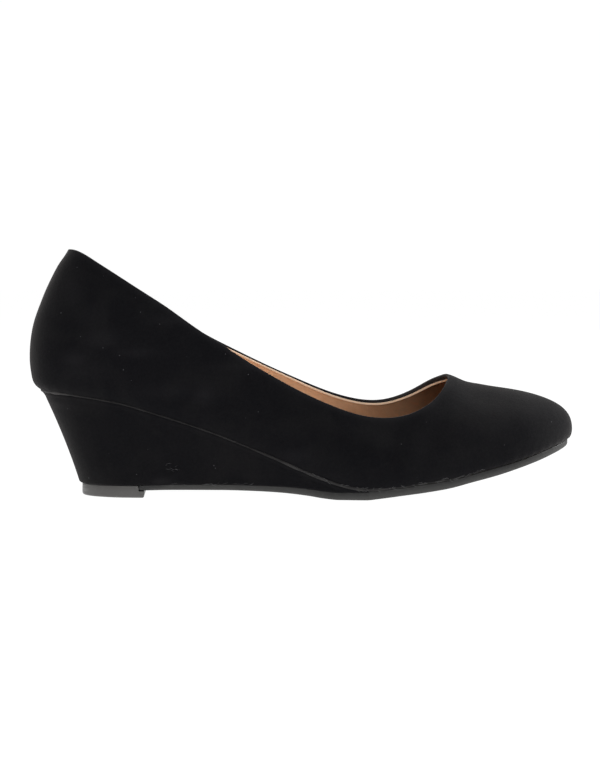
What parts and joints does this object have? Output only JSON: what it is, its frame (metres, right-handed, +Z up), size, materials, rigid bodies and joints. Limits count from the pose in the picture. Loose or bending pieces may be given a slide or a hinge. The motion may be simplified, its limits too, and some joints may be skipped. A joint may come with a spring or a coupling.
{
  "type": "wedge pump",
  "caption": "Women's slip-on wedge pump, right shoe: low-cut round-toe upper on a covered wedge with a thin outsole and a heel tip.",
  "frame": {"origin": "middle of the shoe's footprint box, on the floor", "axes": "+X from the heel to the toe, +Y to the medial side, +Z up"},
  "size_m": [0.2424, 0.08, 0.1092],
  "materials": {
    "suede_cloth": "black faux suede with a short nap, very matt",
    "sock_lining": "smooth tan faux leather, satin",
    "wedge_cover": "black faux suede stretched over the wedge, very matt",
    "sole_rubber": "black moulded rubber, fine grain underneath, satin edge",
    "tip_plastic": "dark grey hard plastic, smooth satin"
  },
  "bodies": {
    "root": {"upper": "suede_cloth", "insole": "sock_lining", "wedge": "wedge_cover", "outsole": "sole_rubber", "heel_tip": "tip_plastic"}
  },
  "joints": []
}
